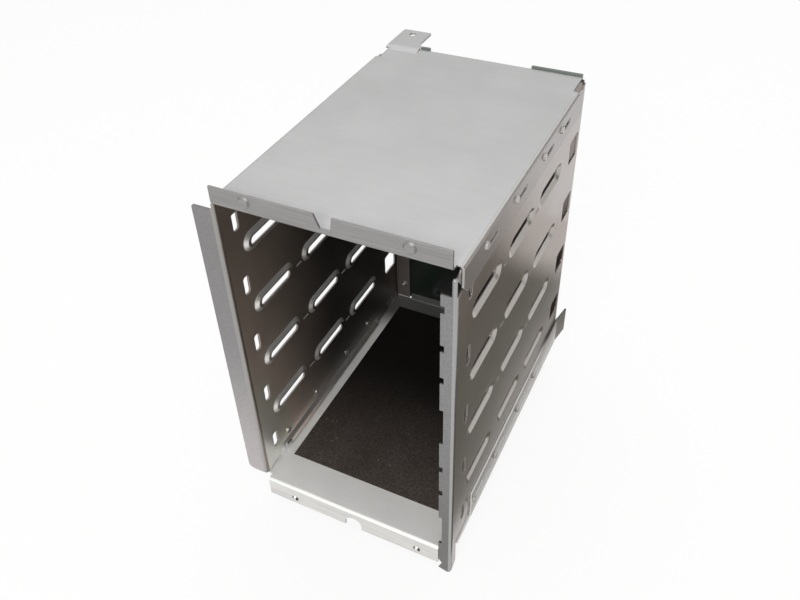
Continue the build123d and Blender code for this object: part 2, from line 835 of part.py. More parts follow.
# Signal connector on the board's rear, with a contact tongue inside its shell
with BuildPart() as signal_connector:
    with BuildSketch(Plane.XZ.offset(-board_rear)):
        with Locations((signal_x, signal_z)):
            Trapezoid(signal_width, signal_height, signal_side_deg)
    extrude(amount=-signal_depth)
    fillet(signal_connector.edges().filter_by(Axis.Y), radius=signal_wall)
    with BuildSketch(Plane.XZ.offset(-board_rear - signal_depth)):
        with Locations((signal_x, signal_z)):
            Trapezoid(
                signal_width - 2 * signal_wall,
                signal_height - 2 * signal_wall,
                signal_side_deg,
            )
    extrude(amount=signal_depth - signal_wall, mode=Mode.SUBTRACT)
save(signal_connector, "signal_connector")

with BuildPart() as signal_contacts:
    with BuildSketch(Plane.XZ.offset(-board_rear - signal_wall)):
        with Locations((signal_x, signal_z)):
            Rectangle(signal_tongue_width, signal_tongue_height)
    extrude(amount=-signal_tongue_length)
save(signal_contacts, "signal_contacts")

# Smoothing capacitors on the board's rear
with BuildPart() as board_capacitors:
    with BuildSketch(Plane.XZ.offset(-board_rear)):
        with Locations(*[(capacitor_x, z) for z in capacitor_rows]):
            Rectangle(capacitor_base, capacitor_base)
    extrude(amount=-capacitor_base_height)
    with BuildSketch(Plane.XZ.offset(-board_rear - capacitor_base_height)):
        with Locations(*[(capacitor_x, z) for z in capacitor_rows]):
            Circle(capacitor_diameter / 2)
    extrude(amount=-capacitor_height)
save(board_capacitors, "board_capacitors")
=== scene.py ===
import math

import bmesh
import bpy
from mathutils import Matrix, Vector


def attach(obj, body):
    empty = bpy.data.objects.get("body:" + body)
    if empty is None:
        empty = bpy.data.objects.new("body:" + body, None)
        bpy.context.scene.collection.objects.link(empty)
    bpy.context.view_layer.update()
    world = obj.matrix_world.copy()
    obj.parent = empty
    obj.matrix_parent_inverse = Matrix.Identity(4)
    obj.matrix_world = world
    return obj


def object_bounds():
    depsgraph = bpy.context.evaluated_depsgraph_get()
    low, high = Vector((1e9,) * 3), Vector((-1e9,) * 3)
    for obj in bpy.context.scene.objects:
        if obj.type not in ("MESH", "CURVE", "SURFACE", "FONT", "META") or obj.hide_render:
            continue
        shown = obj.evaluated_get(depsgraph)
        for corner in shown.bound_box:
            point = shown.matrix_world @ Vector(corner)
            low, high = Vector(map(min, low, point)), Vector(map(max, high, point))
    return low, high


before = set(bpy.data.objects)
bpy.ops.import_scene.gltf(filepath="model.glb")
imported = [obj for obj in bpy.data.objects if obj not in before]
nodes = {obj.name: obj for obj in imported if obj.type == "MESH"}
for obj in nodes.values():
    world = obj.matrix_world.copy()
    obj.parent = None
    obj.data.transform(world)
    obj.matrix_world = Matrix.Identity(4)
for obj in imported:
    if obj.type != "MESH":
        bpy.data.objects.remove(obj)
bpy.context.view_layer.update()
scene = bpy.context.scene

MM = 0.001

# Sockets of a Mix node in its colour mode
MIX_INPUTS = (0, 6, 7)
MIX_RESULT = 2

# Between these two values lies most of what a noise gives
NOISE_SPAN = (0.3, 0.7)


def fill(node, values):
    """Sets a node's inputs. Their names are written with underscores for spaces."""
    for key, value in values.items():
        node.inputs[key.replace("_", " ")].default_value = value


def grey_or_colour(value):
    return (value, value, value) if isinstance(value, (int, float)) else value


class Nodes:
    """An emptied node tree with a few shortcuts for filling it."""

    def __init__(self, tree, output_kind="ShaderNodeOutputMaterial"):
        self.tree = tree
        self.tree.nodes.clear()
        self.output = self.add(output_kind)
        self.place = self.add("ShaderNodeTexCoord")
        self.coords = self.place.outputs["Object"]

    def add(self, kind, **values):
        node = self.tree.nodes.new(kind)
        fill(node, values)
        return node

    def link(self, source, target):
        self.tree.links.new(source, target)

    def surface(self, source):
        self.link(source, self.output.inputs["Surface"])

    def feed(self, sockets, values):
        """Links or sets each of the sockets, as its value is a socket or not."""
        for socket, value in zip(sockets, values):
            if isinstance(value, bpy.types.NodeSocket):
                self.link(value, socket)
            elif socket.type == "RGBA":
                socket.default_value = (*grey_or_colour(value), 1.0)
            else:
                socket.default_value = value

    def noise(self, scale, detail=4.0, roughness=0.5, stretch=(1, 1, 1), distortion=0.0):
        """Noise over the object's own coordinates. A stretch above 1 makes finer detail along that axis."""
        mapping = self.add("ShaderNodeMapping", Scale=stretch)
        self.link(self.coords, mapping.inputs["Vector"])
        node = self.add(
            "ShaderNodeTexNoise",
            Scale=scale,
            Detail=detail,
            Roughness=roughness,
            Distortion=distortion,
        )
        self.link(mapping.outputs["Vector"], node.inputs["Vector"])
        return node.outputs["Fac"]

    def spots(self, scale):
        """Distance to the nearest of many scattered points."""
        node = self.add("ShaderNodeTexVoronoi", Scale=scale)
        self.link(self.coords, node.inputs["Vector"])
        return node.outputs["Distance"]

    def ramp(self, source, stops):
        """A colour ramp: stops are (place, grey or colour)."""
        node = self.add("ShaderNodeValToRGB")
        band = node.color_ramp
        while len(band.elements) < len(stops):
            band.elements.new(0.5)
        for element, (place, colour) in zip(band.elements, stops):
            element.position = place
            element.color = (*grey_or_colour(colour), 1.0)
        self.link(source, node.inputs["Fac"])
        return node.outputs["Color"]

    def two_tone(self, source, dark, light):
        """Turns a noise into colours from dark to light."""
        return self.ramp(source, list(zip(NOISE_SPAN, (dark, light))))

    def mix(self, factor, first, second, blend="MIX"):
        """Mixes two colours. Each of the three may be a number, a colour or a socket."""
        node = self.add("ShaderNodeMix")
        node.data_type = "RGBA"
        node.blend_type = blend
        self.feed([node.inputs[k] for k in MIX_INPUTS], (factor, first, second))
        return node.outputs[MIX_RESULT]

    def times(self, first, second, share=1.0):
        """Multiplies two colours. A share below 1 leaves part of the first as it is."""
        return self.mix(share, first, second, "MULTIPLY")

    def blend(self, factor, first, second):
        """Mixes two shaders."""
        node = self.add("ShaderNodeMixShader")
        self.feed(node.inputs, (factor, first, second))
        return node.outputs[0]

    def math(self, operation, first, second=0.0):
        node = self.add("ShaderNodeMath")
        node.operation = operation
        self.feed(node.inputs, (first, second))
        return node.outputs[0]

    def span(self, source, low, high, to_low=0.0, to_high=1.0):
        """Maps source from low..high to to_low..to_high, smoothly and clamped."""
        node = self.add(
            "ShaderNodeMapRange",
            From_Min=low,
            From_Max=high,
            To_Min=to_low,
            To_Max=to_high,
        )
        node.interpolation_type = "SMOOTHSTEP"
        self.link(source, node.inputs["Value"])
        return node.outputs["Result"]

    def hill(self, source, rise, fall):
        """1 between the two slopes rise and fall, each a (low, high) pair, and 0 outside them."""
        return self.math("MULTIPLY", self.span(source, *rise), self.span(source, *fall, 1.0, 0.0))

    def part(self, vector, name):
        """One of a vector's parts: X, Y or Z."""
        node = self.add("ShaderNodeSeparateXYZ")
        self.link(vector, node.inputs[0])
        return node.outputs[name]

    def axis(self, name):
        return self.part(self.coords, name)

    def facing(self, name):
        """How the surface faces along an axis, from -1 to 1."""
        return self.part(self.place.outputs["Normal"], name)

    def sideways(self):
        """How the surface faces to either side, from 0 to 1."""
        return self.math("ABSOLUTE", self.facing("X"))


class Paint(Nodes):
    """A material around one Principled shader."""

    edge_samples = 8

    def __init__(self, name, **values):
        self.material = bpy.data.materials.new(name)
        self.material.use_nodes = True
        super().__init__(self.material.node_tree)
        self.shader = self.add("ShaderNodeBsdfPrincipled", **values)
        self.surface(self.shader.outputs["BSDF"])

    def bump(self, heights, edge=0.0):
        """Stacks bumps: heights are (socket, strength, distance in metres).

        An edge radius above zero rounds the edges.
        """
        normal = None
        if edge:
            round_edge = self.add("ShaderNodeBevel", Radius=edge)
            round_edge.samples = self.edge_samples
            normal = round_edge.outputs["Normal"]
        for socket, strength, distance in heights:
            node = self.add("ShaderNodeBump", Strength=strength, Distance=distance)
            self.link(socket, node.inputs["Height"])
            if normal is not None:
                self.link(normal, node.inputs["Normal"])
            normal = node.outputs["Normal"]
        self.link(normal, self.shader.inputs["Normal"])

    def colour(self, socket):
        self.link(socket, self.shader.inputs["Base Color"])

    def metallic(self, socket):
        self.link(socket, self.shader.inputs["Metallic"])

    def rough(self, socket):
        self.link(socket, self.shader.inputs["Roughness"])


def box_of(name):
    """Lowest and highest corner of a CAD piece in the frame."""
    corners = [nodes[name].matrix_world @ Vector(corner) for corner in nodes[name].bound_box]
    return (
        Vector(min(c[k] for c in corners) for k in range(3)),
        Vector(max(c[k] for c in corners) for k in range(3)),
    )


wall_low, wall_high = box_of("left_wall")
front_y = box_of("right_wall")[0].y
rear_y = box_of("right_wall")[1].y
board_high = box_of("backplane_board")[1]
sheet = 1.0 * MM

# Facings between which a face counts as part of a flat side
flat_side = (0.5, 0.8)
# The same on a wall's inside, with its slopes
wall_inside = (0.2, 0.5)
# Facings of a fold, from the flange's end to the sheet's
fold_rise = (0.10, 0.35)
fold_fall = (0.85, 0.97)
# Facings of the pressed slopes on the walls
slope_rise = (0.72, 0.82)
slope_fall = (0.90, 0.96)
# Facings of the pips' slanting sides, sideways and down
pip_side_rise = (0.25, 0.40)
pip_side_fall = (0.80, 0.90)
pip_under_rise = (-0.9, -0.8)
pip_under_fall = (-0.40, -0.25)

# Places along Y between which the front strips end
strip_end = (front_y + 1.2 * sheet, front_y + 2.6 * sheet)
# Heights between which the front strips' painted light or shade changes
strip_heights = (wall_low.z, wall_low.z + 0.6 * (wall_high.z - wall_low.z))
# Places along Y between which the walls' flat part begins
flat_start = (front_y + 4 * sheet, front_y + 5 * sheet)


class Steel(Paint):
    """Satin zinc-plated sheet steel: rolling grain along one axis, faint mottling and specks.
    """

    grain_scale = 60.0
    grain_across = 22.0
    grain_along = 0.5
    grain_dark = 0.88
    grain_share = 0.5
    speck_scale = 1500.0
    speck_dark = 0.84
    speck_share = 0.3
    wave_scale = 260.0
    mottle_scale = 40.0
    cloud_scale = 12.0
    cloud_edge = (0.35, 0.75)
    sheen_span = (0.25, 0.75)
    streak_span = (0.2, 0.8)
    rear_full = 0.4
    brushed_dark = 0.86
    brushed_light = 1.05
    tint_spread = 0.03
    rough_spread = 0.02
    edge_radius = 0.6 * MM
    wave_height = 0.08 * MM
    grain_height = 0.02 * MM

    def __init__(self, name, base, warm, metallic, rough, grain_axis, cloud_share):
        super().__init__(name, Metallic=metallic)
        fine = [self.grain_across] * 3
        fine[grain_axis] = self.grain_along
        self.grain = self.noise(self.grain_scale, detail=3.0, roughness=0.5, stretch=tuple(fine))
        self.speck = self.noise(self.speck_scale, detail=2.0, roughness=0.6)
        self.waves = self.noise(self.wave_scale, detail=2.0, roughness=0.6)
        mottle = self.noise(self.mottle_scale, detail=3.0, roughness=0.55)
        cloud = self.noise(self.cloud_scale, detail=2.0, roughness=0.5, distortion=0.6)
        dark = tuple(channel * (1 - self.tint_spread) for channel in base)
        light = tuple(min(1, channel * (1 + self.tint_spread)) for channel in base)
        clean = self.two_tone(mottle, dark, light)
        tinted = self.mix(self.span(cloud, *self.cloud_edge, 0.0, cloud_share), clean, warm)
        grain_tone = self.ramp(self.grain, [(0.25, self.grain_dark), (0.75, 1.0)])
        speck_tone = self.ramp(self.speck, [(0.3, self.speck_dark), (0.6, 1.0)])
        grained = self.times(tinted, grain_tone, self.grain_share)
        self.tint = self.times(grained, speck_tone, self.speck_share)
        sheen = self.span(mottle, *self.sheen_span, rough - self.rough_spread, rough + self.rough_spread)
        streaks = self.span(self.grain, *self.streak_span, -self.rough_spread, self.rough_spread)
        self.sheen = self.math("ADD", sheen, streaks)

    def shade_part(self, part, where, first, second):
        """Paints light or shade: where part is 1, multiplies the tint by a colour.

        The colour goes from first to second as where goes from 0 to 1.
        """
        shaded = self.times(self.tint, self.mix(where, first, second))
        self.tint = self.mix(part, self.tint, shaded)

    def front_strips(self, top, bottom):
        """The bent strips at the front: brushed, and with painted light or shade that changes with height.
        """
        at_front = self.span(self.axis("Y"), *strip_end, 1.0, 0.0)
        height = self.span(self.axis("Z"), *strip_heights)
        self.shade_part(at_front, height, bottom, top)
        strokes = self.two_tone(self.grain, self.brushed_dark, self.brushed_light)
        brushed = self.times(self.tint, strokes)
        self.tint = self.mix(at_front, self.tint, brushed)
        return at_front

    def painted_fold_highlight(self, at_front, lean, colour):
        """Paints a highlight on the fold at the front, between the flat sheet and its flange.

        lean is the facing that goes from 1 on the flat sheet to 0 on the flange.
        """
        fold = self.hill(lean, fold_rise, fold_fall)
        self.tint = self.mix(self.math("MULTIPLY", fold, at_front), self.tint, colour)

    def shaded_pips(self, at_front, colour):
        """Paints shade on the slanting sides of the pips, which lean sideways or down."""
        lean = self.hill(self.sideways(), pip_side_rise, pip_side_fall)
        droop = self.hill(self.facing("Z"), pip_under_rise, pip_under_fall)
        slant = self.math("MAXIMUM", lean, droop)
        self.tint = self.mix(self.math("MULTIPLY", slant, at_front), self.tint, colour)

    def painted_rear_shade(self, part, start, share):
        """Paints shade: darkens part of the sheet to a share of its tone, from a distance start before its
        rear end.
        """
        at_rear = self.span(self.axis("Y"), rear_y - start, rear_y - self.rear_full * start)
        self.shade_part(part, at_rear, 1.0, share)

    def painted_slope_highlights(self, where, inside, outer, inner):
        """The pressed slopes lean against X. They get painted highlights, brighter on the inside."""
        slope = self.math("MULTIPLY", self.hill(self.sideways(), slope_rise, slope_fall), where)
        self.tint = self.mix(slope, self.tint, self.mix(inside, outer, inner))

    def polish(self, part, amount):
        """Lowers the roughness by amount where part is 1."""
        self.sheen = self.math("SUBTRACT", self.sheen, self.math("MULTIPLY", part, amount))

    def finish(self):
        self.colour(self.mix(1.0, self.tint, 1.0, "DARKEN"))
        self.rough(self.sheen)
        heights = [
            (self.waves, 0.04, self.wave_height),
            (self.grain, 0.12, self.grain_height),
            (self.speck, 0.1, self.grain_height),
        ]
        self.bump(heights, edge=self.edge_radius)
        return self.material


def roof_material():
    base = (0.485, 0.485, 0.48)
    warm = (0.47, 0.465, 0.455)
    strip = (0.62, 0.61, 0.61)
    side_shade = (0.58, 0.53, 0.51)
    side_polish = 0.25
    steel = Steel("roof_steel", base, warm, metallic=0.4, rough=0.46, grain_axis=0, cloud_share=0.1)
    # Painted shade on the front strip, which is also brushed
    steel.front_strips(strip, strip)
    # Painted shade on the side flanges
    side = steel.span(steel.sideways(), *flat_side)
    steel.shade_part(side, 0.0, side_shade, 1.0)
    steel.polish(side, side_polish)
    return steel.finish()


def floor_material():
    base = (0.82, 0.82, 0.81)
    warm = (0.78, 0.77, 0.75)
    strip = (0.90, 0.90, 0.89)
    fold_highlight = (0.97, 0.97, 0.95)
    pip_shade = (0.07, 0.065, 0.06)
    side_shade = (0.47, 0.44, 0.42)
    side_polish = 0.22
    rear_length = 40 * MM
    rear_share = 0.12
    metallic, side_metallic = 0.15, 0.85
    steel = Steel("floor_steel", base, warm, metallic, rough=0.44, grain_axis=0, cloud_share=0.3)
    # Painted shade on the front strip, which is also brushed
    at_front = steel.front_strips(strip, strip)
    # A painted highlight on the front fold
    steel.painted_fold_highlight(at_front, steel.facing("Z"), fold_highlight)
    # Painted shade on the pips' slanting sides
    steel.shaded_pips(at_front, pip_shade)
    # Painted shade towards the rear, on faces that face up or to the front
    upward = steel.span(steel.facing("Z"), *flat_side)
    forward = steel.span(steel.math("MULTIPLY", steel.facing("Y"), -1.0), *flat_side)
    steel.painted_rear_shade(steel.math("ADD", upward, forward), rear_length, rear_share)
    # Painted shade on the side flanges
    side = steel.span(steel.sideways(), *flat_side)
    steel.shade_part(side, 0.0, side_shade, 1.0)
    steel.polish(side, side_polish)
    steel.metallic(steel.span(side, 0.0, 1.0, metallic, side_metallic))
    return steel.finish()


def wall_material(name, inward, rough, strip_top, strip_bottom):
    """A side wall. Its inside has painted light near the front and bottom, and painted shade towards the
    rear and under the roof.

    inward is the sign of the X axis on which the bays lie.
    """
    base = (0.40, 0.370, 0.34)
    warm = (0.36, 0.325, 0.295)
    inside_front_light = (2.15, 1.92, 1.75)
    inside_rear_shade = 0.30
    inside_low_light = (1.7, 1.7, 1.75)
    inside_high_shade = 0.60
    inside_depths = (front_y + 5 * MM, front_y + 90 * MM)
    rear_length = 8 * MM
    rear_share = 0.45
    outside_shade = (0.88, 0.835, 0.85)
    fold_highlight = 0.37
    slope_highlight_outer = (0.44, 0.42, 0.39)
    slope_highlight_inner = (0.92, 0.91, 0.89)
    steel = Steel(name, base, warm, metallic=0.85, rough=rough, grain_axis=1, cloud_share=0.5)
    behind_bend = steel.span(steel.axis("Y"), *flat_start)
    inside = steel.span(steel.math("MULTIPLY", steel.facing("X"), inward), *wall_inside)
    outside = steel.math("SUBTRACT", 1.0, inside)
    depth = steel.span(steel.axis("Y"), *inside_depths)
    height = steel.span(steel.axis("Z"), wall_low.z, wall_high.z)
    bay_side = steel.math("MULTIPLY", inside, behind_bend)
    # Painted light and shade on the inside of the bays
    steel.shade_part(bay_side, depth, inside_front_light, inside_rear_shade)
    steel.shade_part(bay_side, height, inside_low_light, inside_high_shade)
    # Painted shade on the outer face
    steel.shade_part(outside, 0.0, outside_shade, 1.0)
    at_front = steel.front_strips(strip_top, strip_bottom)
    steel.painted_fold_highlight(at_front, steel.sideways(), fold_highlight)
    # Painted shade at the rear of the inside
    steel.painted_rear_shade(inside, rear_length, rear_share)
    # Painted highlights on the pressed slopes
    steel.painted_slope_highlights(behind_bend, inside, slope_highlight_outer, slope_highlight_inner)
    return steel.finish()


def rivet_material():
    paint = Paint("rivet_steel", Metallic=0.9)
    dark = (0.42, 0.40, 0.38)
    light = (0.62, 0.60, 0.58)
    rough_range = (0.29, 0.38)
    cloud_scale = 900.0
    cloud = paint.noise(cloud_scale, detail=3.0)
    paint.colour(paint.two_tone(cloud, dark, light))
    paint.rough(paint.span(cloud, *NOISE_SPAN, *rough_range))
    paint.bump([(cloud, 0.25, 0.1 * MM)])
    return paint.material


def mat_material():
    """A black mat with a coarse grain and pale dust, with painted light at the front and painted shade that
    darkens it towards the rear.
    """
    paint = Paint("mat_black", Metallic=0.0, Specular_IOR_Level=0.2)
    dark = (0.072, 0.058, 0.050)
    light = (0.112, 0.092, 0.082)
    dust_colour = (0.30, 0.26, 0.23)
    dust_share = 0.35
    speck_radius = (0.08, 0.2)
    patch_edge = (0.50, 0.62)
    grain_dark = 0.30
    grain_share = 0.9
    front_light, rear_shade = 1.15, 0.06
    depths = (front_y + 10 * MM, rear_y - 60 * MM)
    rough_range = (0.72, 0.86)
    grain_scale, cloud_scale, speck_scale, patch_scale = 800.0, 22.0, 260.0, 70.0
    grain = paint.noise(grain_scale, detail=5.0, roughness=0.75)
    cloud = paint.noise(cloud_scale, detail=4.0, roughness=0.6)
    base = paint.two_tone(cloud, dark, light)
    grained = paint.times(base, paint.ramp(grain, [(0.35, grain_dark), (0.65, 1.0)]), grain_share)
    specks = paint.span(paint.spots(speck_scale), *speck_radius, 1.0, 0.0)
    patches = paint.span(paint.noise(patch_scale, detail=2.0), *patch_edge)
    dust = paint.math("MULTIPLY", specks, patches)
    dusty = paint.mix(paint.math("MULTIPLY", dust, dust_share), grained, dust_colour)
    # Painted light at the front and painted shade towards the rear
    depth = paint.span(paint.axis("Y"), *depths)
    paint.colour(paint.times(dusty, paint.mix(depth, front_light, rear_shade)))
    paint.rough(paint.span(cloud, *NOISE_SPAN, *rough_range))
    paint.bump([(grain, 0.5, 0.15 * MM), (cloud, 0.2, 0.5 * MM)])
    return paint.material


def board_material():
    """A green circuit board with fine traces across it, a paler top edge, and painted shade on its side that
    faces the bays.
    """
    paint = Paint("board_green", Metallic=0.0, Roughness=0.32)
    dark = (0.016, 0.024, 0.019)
    light = (0.022, 0.033, 0.025)
    trace_colour = (0.034, 0.058, 0.042)
    edge_colour = (0.15, 0.17, 0.155)
    edge_heights = (board_high.z - 1.6 * MM, board_high.z - 1.2 * MM)
    bay_side_shade = 0.35
    bay_side_end = (-0.6, -0.3)
    trace_share = 0.8
    traced_edge = (0.45, 0.5)
    cloud_scale, patch_scale, grain_scale = 30.0, 24.0, 900.0
    cloud = paint.noise(cloud_scale, detail=3.0)
    turn = paint.add("ShaderNodeMapping", Rotation=(math.radians(90), 0, 0))
    bricks = paint.add(
        "ShaderNodeTexBrick",
        Scale=1.0,
        Brick_Width=19 * MM,
        Row_Height=1.6 * MM,
        Mortar_Size=0.22 * MM,
        Color1=(0, 0, 0, 1),
        Color2=(0, 0, 0, 1),
        Mortar=(1, 1, 1, 1),
    )
    paint.link(paint.coords, turn.inputs["Vector"])
    paint.link(turn.outputs["Vector"], bricks.inputs["Vector"])
    traced_area = paint.span(paint.noise(patch_scale, detail=1.0), *traced_edge)
    traces = paint.math("MULTIPLY", bricks.outputs["Fac"], traced_area)
    base = paint.two_tone(cloud, dark, light)
    traced = paint.mix(paint.math("MULTIPLY", traces, trace_share), base, trace_colour)
    # Painted shade on the side that faces the bays
    off_bay_side = paint.span(paint.facing("Y"), *bay_side_end)
    faces = paint.times(traced, paint.mix(off_bay_side, bay_side_shade, 1.0))
    top_edge = paint.span(paint.axis("Z"), *edge_heights)
    paint.colour(paint.mix(top_edge, faces, edge_colour))
    paint.bump([(traces, 0.4, 0.04 * MM), (paint.noise(grain_scale), 0.1, 0.03 * MM)])
    return paint.material


def plastic(name, dark, light, rough):
    """Moulded plastic with a fine eroded grain."""
    paint = Paint(name, Metallic=0.0)
    grain_dark = 0.8
    grain_share = 0.3
    rough_range = (rough - 0.05, rough + 0.05)
    grain_scale, cloud_scale = 2400.0, 60.0
    grain = paint.noise(grain_scale, detail=3.0, roughness=0.6)
    cloud = paint.noise(cloud_scale, detail=2.0)
    base = paint.two_tone(cloud, dark, light)
    paint.colour(paint.times(base, paint.two_tone(grain, grain_dark, 1.0), grain_share))
    paint.rough(paint.span(cloud, *NOISE_SPAN, *rough_range))
    paint.bump([(grain, 0.25, 0.04 * MM)])
    return paint.material


def bright_metal(name, dark, light, rough, pitch=0.0):
    """Plated metal. A pitch above zero draws separate contacts across X."""
    paint = Paint(name, Metallic=1.0)
    gap_colour = (0.02, 0.02, 0.022)
    gap_edge = (-0.5, -0.2)
    rough_range = (rough - 0.05, rough + 0.06)
    cloud_scale = 500.0
    cloud = paint.noise(cloud_scale, detail=3.0)
    base = paint.two_tone(cloud, dark, light)
    if pitch:
        wave = paint.math("SINE", paint.math("MULTIPLY", paint.axis("X"), 2 * math.pi / pitch))
        base = paint.mix(paint.span(wave, *gap_edge, 1.0, 0.0), base, gap_colour)
        paint.metallic(paint.span(wave, *gap_edge))
        paint.bump([(wave, 0.4, 0.1 * MM)])
    else:
        paint.bump([(cloud, 0.15, 0.05 * MM)])
    paint.colour(base)
    paint.rough(paint.span(cloud, *NOISE_SPAN, *rough_range))
    return paint.material


# The left wall's front strip has painted shade at the top and painted light at the bottom
left_steel = wall_material(
    "left_steel",
    inward=1.0,
    rough=0.34,
    strip_top=(0.76, 0.865, 0.955),
    strip_bottom=(1.67, 1.80, 1.95),
)
# The right wall's front strip has painted shade, darker at the bottom
right_steel = wall_material(
    "right_steel",
    inward=-1.0,
    rough=0.21,
    strip_top=(0.78, 0.885, 0.955),
    strip_bottom=(0.545, 0.60, 0.63),
)
black_housing = plastic(
    "connector_black",
    dark=(0.018, 0.018, 0.020),
    light=(0.028, 0.028, 0.031),
    rough=0.45,
)
white_housing = plastic(
    "power_white",
    dark=(0.66, 0.64, 0.57),
    light=(0.74, 0.72, 0.66),
    rough=0.42,
)
contact_gold = bright_metal(
    "contact_gold",
    dark=(0.70, 0.50, 0.20),
    light=(0.85, 0.64, 0.30),
    rough=0.34,
    pitch=1.27 * MM,
)
pin_tin = bright_metal(
    "pin_tin",
    dark=(0.66, 0.66, 0.66),
    light=(0.80, 0.80, 0.79),
    rough=0.34,
)
screw_zinc = bright_metal(
    "screw_zinc",
    dark=(0.55, 0.55, 0.56),
    light=(0.74, 0.74, 0.74),
    rough=0.35,
)
can_aluminium = bright_metal(
    "capacitor_can",
    dark=(0.66, 0.66, 0.68),
    light=(0.80, 0.80, 0.82),
    rough=0.36,
)

looks = {
    "top_panel": roof_material(),
    "bottom_panel": floor_material(),
    "left_wall": left_steel,
    "right_wall": right_steel,
    "rivets": rivet_material(),
    "floor_mat": mat_material(),
    "backplane_board": board_material(),
    "board_screws": screw_zinc,
    "drive_connector": black_housing,
    "drive_contacts": contact_gold,
    "power_connector": white_housing,
    "power_pins": pin_tin,
    "signal_connector": black_housing,
    "signal_contacts": contact_gold,
    "board_capacitors": can_aluminium,
}
for name, node in nodes.items():
    family = next(key for key in looks if name.startswith(key))
    node.data.materials.clear()
    node.data.materials.append(looks[family])

# Solder joints and chips on the board's rear side, which stand from just inside its surface
board_back = board_high.y - 0.05 * MM


def board_piece(name, build, material):
    """A piece on the board's rear side. build fills a bmesh, and material is its finish."""
    shape = bmesh.new()
    build(shape)
    bmesh.ops.recalc_face_normals(shape, faces=shape.faces)
    mesh = bpy.data.meshes.new(name)
    shape.to_mesh(mesh)
    shape.free()
    mesh.materials.append(material)
    obj = bpy.data.objects.new(name, mesh)
    scene.collection.objects.link(obj)
    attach(obj, "root")


def join_rings(shape, below, above):
    """Faces between two rings of as many points."""
    for k in range(len(below)):
        shape.faces.new((below[k], above[k], above[k - 1], below[k - 1]))


def add_turned(shape, x, z, profile, sides):
    """A turned form on the board.

    profile lists (radius, rise) from the board outwards and ends on the axis.
    """
    rings = []
    for radius, rise in profile[:-1]:
        ring = []
        for k in range(sides):
            angle = 2 * math.pi * k / sides
            spot = (x + radius * math.cos(angle), board_back + rise, z + radius * math.sin(angle))
            ring.append(shape.verts.new(spot))
        rings.append(ring)
    tip = shape.verts.new((x, board_back + profile[-1][1], z))
    for inner, outer in zip(rings, rings[1:]):
        join_rings(shape, inner, outer)
    for k in range(sides):
        shape.faces.new((rings[-1][k], tip, rings[-1][k - 1]))
    shape.faces.new(rings[0])


joint_profile = [(0.78 * MM, 0.0), (0.50 * MM, 0.25 * MM), (0.30 * MM, 0.8 * MM), (0.0, 1.05 * MM)]
joint_sides = 8
joint_pitch = 2.54 * MM
joints_per_row = 19
row_offset = 1.9 * MM
peg_profile = [(1.9 * MM, 0.0), (1.5 * MM, 0.35 * MM), (1.1 * MM, 0.9 * MM), (0.0, 1.1 * MM)]
peg_sides = 14
peg_inset = 3.0 * MM


def spread(count, pitch):
    """Places of a row of count points around zero, pitch apart."""
    return [(k - (count - 1) / 2) * pitch for k in range(count)]


def drive_joints(plug_low, plug_high):
    """Two rows of solder joints and two pegs behind a drive connector."""
    centre = (plug_low + plug_high) / 2

    def build(shape):
        for side in (-1, 1):
            for along in spread(joints_per_row, joint_pitch):
                add_turned(shape, centre.x + along, centre.z + side * row_offset, joint_profile, joint_sides)
        for x in (plug_low.x + peg_inset, plug_high.x - peg_inset):
            add_turned(shape, x, centre.z, peg_profile, peg_sides)

    return build


# The signal connector covers the joints of the drive connector in front of it
bays = 5
signal_low, signal_high = box_of("signal_connector")
for number in range(1, bays + 1):
    plug_low, plug_high = box_of(f"drive_connector_{number}")
    if signal_low.z < (plug_low.z + plug_high.z) / 2 < signal_high.z:
        continue
    board_piece(f"solder_joints_{number}", drive_joints(plug_low, plug_high), pin_tin)

chip_spots = [(-12 * MM, 44 * MM), (10 * MM, 152 * MM), (-20 * MM, 118 * MM)]
chip_long, chip_wide, chip_thick = 10.3 * MM, 7.5 * MM, 2.3 * MM
chip_draft = 0.35 * MM
chip_lift = 0.15 * MM
chip_edge = 0.18 * MM
lead_pitch = 1.27 * MM
lead_width = 0.42 * MM
lead_thick = 0.25 * MM
leads_per_side = 8
# A lead's bends: distances from the body's widest line, and heights above the board
lead_bends = [
    (-0.1 * MM, chip_lift + chip_thick / 2),
    (0.45 * MM, chip_lift + chip_thick / 2),
    (0.75 * MM, lead_thick / 2),
    (1.35 * MM, lead_thick / 2),
]
corner_signs = ((-1, -1), (1, -1), (1, 1), (-1, 1))


def add_chip_body(shape, x, z):
    """A moulded body with drafted sides on both halves and rounded upper edges."""
    rings = []
    for rise, draft in ((0.0, chip_draft), (chip_thick / 2, 0.0), (chip_thick, chip_draft)):
        corners = []
        for side_x, side_z in corner_signs:
            corner_x = x + side_x * (chip_long / 2 - draft)
            corner_z = z + side_z * (chip_wide / 2 - draft)
            corners.append(shape.verts.new((corner_x, board_back + chip_lift + rise, corner_z)))
        rings.append(corners)
    for below, above in zip(rings, rings[1:]):
        join_rings(shape, below, above)
    shape.faces.new(rings[0])
    top = shape.faces.new(list(reversed(rings[-1])))
    bmesh.ops.bevel(shape, geom=list(top.edges), offset=chip_edge, segments=2, affect="EDGES")


def add_lead(shape, x, z, side):
    """A gull-wing lead: out of the body, down to the board and along it."""
    previous = None
    for reach, rise in lead_bends:
        ring = []
        for side_x, side_y in corner_signs:
            spot = (
                x + side_x * lead_width / 2,
                board_back + rise + side_y * lead_thick / 2,
                z + side * (chip_wide / 2 + reach),
            )
            ring.append(shape.verts.new(spot))
        if previous:
            join_rings(shape, previous, ring)
        else:
            shape.faces.new(ring)
        previous = ring
    shape.faces.new(list(reversed(previous)))


def chip_bodies(shape):
    for x, z in chip_spots:
        add_chip_body(shape, x, z)


def chip_leads(shape):
    for x, z in chip_spots:
        for side in (-1, 1):
            for along in spread(leads_per_side, lead_pitch):
                add_lead(shape, x + along, z, side)


